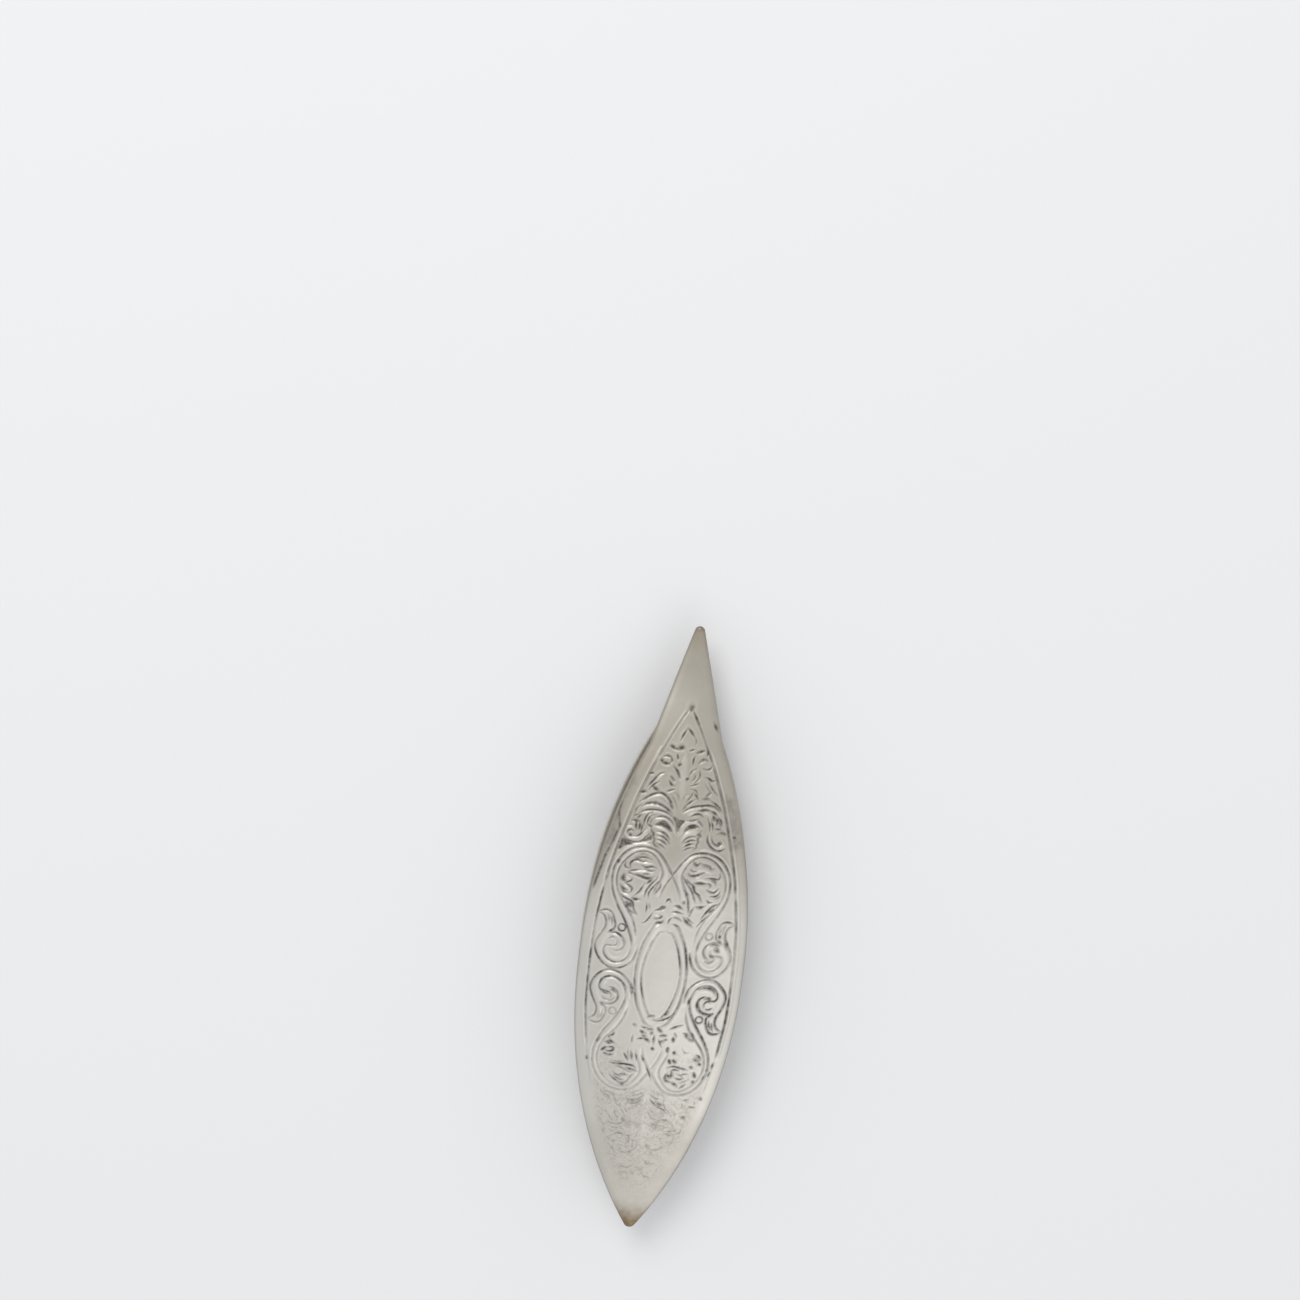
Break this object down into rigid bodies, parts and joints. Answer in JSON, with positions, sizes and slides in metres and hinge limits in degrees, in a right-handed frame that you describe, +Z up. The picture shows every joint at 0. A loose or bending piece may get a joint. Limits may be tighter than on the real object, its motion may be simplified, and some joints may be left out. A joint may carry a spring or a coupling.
{
  "type": "tatting shuttle",
  "caption": "Silver-plated tatting shuttle with a pick: two dished pointed blades back to back on a bored post that the thread winds round.",
  "frame": {"origin": "middle of the thread hole in the post, halfway between the two blades", "axes": "+X across the shuttle along the thread hole, +Y along its length towards the pick, +Z up through the upper blade, whose decorated face looks up"},
  "size_m": [0.023, 0.0889, 0.011],
  "materials": {
    "blade_plate": "silver plated brass sheet, satin with tarnish in the chased ornament",
    "post_plate": "silver plated brass block, dull",
    "solder": "soft silver-grey solder, run in and left matt"
  },
  "bodies": {
    "root": {"upper_blade": "blade_plate", "lower_blade": "blade_plate", "centre_post": "post_plate", "solder_fillet_upper": "solder", "solder_fillet_lower": "solder"}
  },
  "joints": []
}
